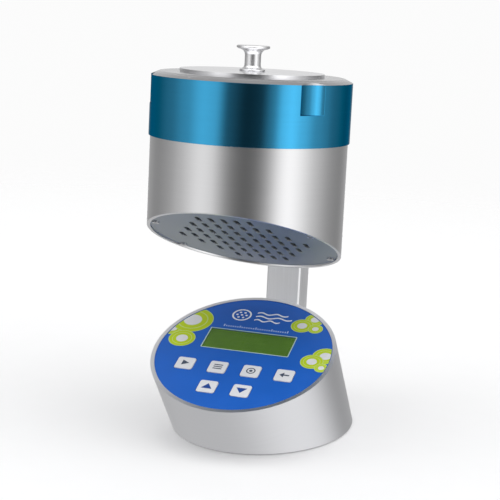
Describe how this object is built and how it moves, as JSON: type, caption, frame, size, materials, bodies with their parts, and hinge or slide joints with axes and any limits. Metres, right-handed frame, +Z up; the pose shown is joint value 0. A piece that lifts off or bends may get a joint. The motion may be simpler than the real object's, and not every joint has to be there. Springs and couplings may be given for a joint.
{
  "type": "microbial air sampler",
  "caption": "Portable microbial air sampler: a round sieve head with a fan over a slanted grille, on a handle bar and a leaning round base with keys and a display.",
  "frame": {"origin": "middle of the rubber pad under the base, on the standing surface", "axes": "+Z up, +Y from the operator to the back, +X to the operator's right"},
  "size_m": [0.12, 0.1984, 0.2463],
  "materials": {
    "cover": "satin turned",
    "knob_steel": "polished",
    "sieve": "satin turned",
    "ring_blue": "blue anodised, brushed",
    "casing_satin": "clear anodised, brushed round",
    "base_satin": "clear anodised, brushed",
    "bar_satin": "clear anodised",
    "grille": "satin grey",
    "inner_metal": "machined",
    "spring_steel": "bright",
    "screw_steel": "bright",
    "seal": "matt",
    "pad": "matt",
    "fan_plastic": "moulded",
    "motor_can": "drawn can",
    "circuit": "solder resist",
    "black_plastic": "moulded",
    "cable": "satin sheath",
    "overlay": "printed film",
    "key": "printed film",
    "window": "clear film",
    "display": "green liquid crystal cell",
    "display_frame": "black",
    "brass": "turned",
    "battery": "shrink sleeve",
    "rocker": "moulded"
  },
  "bodies": {
    "stand": {"casing": "casing_satin", "base_tube": "base_satin", "handle_bar": "bar_satin", "exhaust_plate": "grille", "dish_stage": "inner_metal", "dish_carrier": "inner_metal", "motor_mount": "inner_metal", "bar_backing": "inner_metal", "panel_plate": "inner_metal", "base_plate": "inner_metal", "battery_bracket": "inner_metal", "dish_clips": "spring_steel", "stage_screws": "screw_steel", "motor_screws": "screw_steel", "mount_screws": "screw_steel", "board_screws": "screw_steel", "bar_screws": "screw_steel", "foot_screws": "screw_steel", "panel_screws": "screw_steel", "standoff_screws": "screw_steel", "bracket_screws": "screw_steel", "base_screws": "screw_steel", "exhaust_screws": "screw_steel", "head_seal": "seal", "base_pad": "pad", "fan_housing": "fan_plastic", "motor": "motor_can", "head_board": "circuit", "control_board": "circuit", "flow_sensor": "black_plastic", "bar_plug": "black_plastic", "key_switches": "black_plastic", "dc_socket": "black_plastic", "power_switch": "black_plastic", "loom": "cable", "panel_overlay": "overlay", "display_window": "window", "display_cell": "display", "display_module": "display_frame", "board_standoffs": "brass", "tripod_bush": "brass", "battery_pack": "battery"},
    "sampling_head": {"head_ring": "ring_blue", "sieve_plate": "sieve", "sieve_seal": "seal", "sieve_screws": "screw_steel"},
    "dust_cover": {"cover_disc": "cover", "cover_knob": "knob_steel", "knob_screw": "screw_steel"},
    "fan_rotor": {"impeller": "fan_plastic", "motor_shaft": "spring_steel"},
    "rocker": {"power_rocker": "rocker"},
    "key_start": {"key_start": "key"},
    "key_menu": {"key_menu": "key"},
    "key_select": {"key_select": "key"},
    "key_back": {"key_back": "key"},
    "key_up": {"key_up": "key"},
    "key_down": {"key_down": "key"}
  },
  "joints": [
    {"name": "head_lift", "type": "slide", "parent": "stand", "child": "sampling_head", "axis": [0, 0, 1], "range_m": [0, 0.06]},
    {"name": "cover_lift", "type": "slide", "parent": "sampling_head", "child": "dust_cover", "axis": [0, 0, 1], "range_m": [0, 0.04]},
    {"name": "fan_spin", "type": "hinge", "parent": "stand", "child": "fan_rotor", "pos_m": [0, -0.061, 0.16], "axis": [0, 0, 1], "continuous": true},
    {"name": "power_rock", "type": "hinge", "parent": "stand", "child": "rocker", "pos_m": [0.02888, 0.03388, 0.03245], "axis": [0.848, -0.3938, -0.3546], "range_deg": [0, 14]},
    {"name": "key_start_press", "type": "slide", "parent": "stand", "child": "key_start", "axis": [0, 0.3827, -0.9239], "range_m": [0, 0.0005], "stiffness_N_per_m": 600, "springref_m": -0.0005},
    {"name": "key_menu_press", "type": "slide", "parent": "stand", "child": "key_menu", "axis": [0, 0.3827, -0.9239], "range_m": [0, 0.0005], "stiffness_N_per_m": 600, "springref_m": -0.0005},
    {"name": "key_select_press", "type": "slide", "parent": "stand", "child": "key_select", "axis": [0, 0.3827, -0.9239], "range_m": [0, 0.0005], "stiffness_N_per_m": 600, "springref_m": -0.0005},
    {"name": "key_back_press", "type": "slide", "parent": "stand", "child": "key_back", "axis": [0, 0.3827, -0.9239], "range_m": [0, 0.0005], "stiffness_N_per_m": 600, "springref_m": -0.0005},
    {"name": "key_up_press", "type": "slide", "parent": "stand", "child": "key_up", "axis": [0, 0.3827, -0.9239], "range_m": [0, 0.0005], "stiffness_N_per_m": 600, "springref_m": -0.0005},
    {"name": "key_down_press", "type": "slide", "parent": "stand", "child": "key_down", "axis": [0, 0.3827, -0.9239], "range_m": [0, 0.0005], "stiffness_N_per_m": 600, "springref_m": -0.0005}
  ]
}
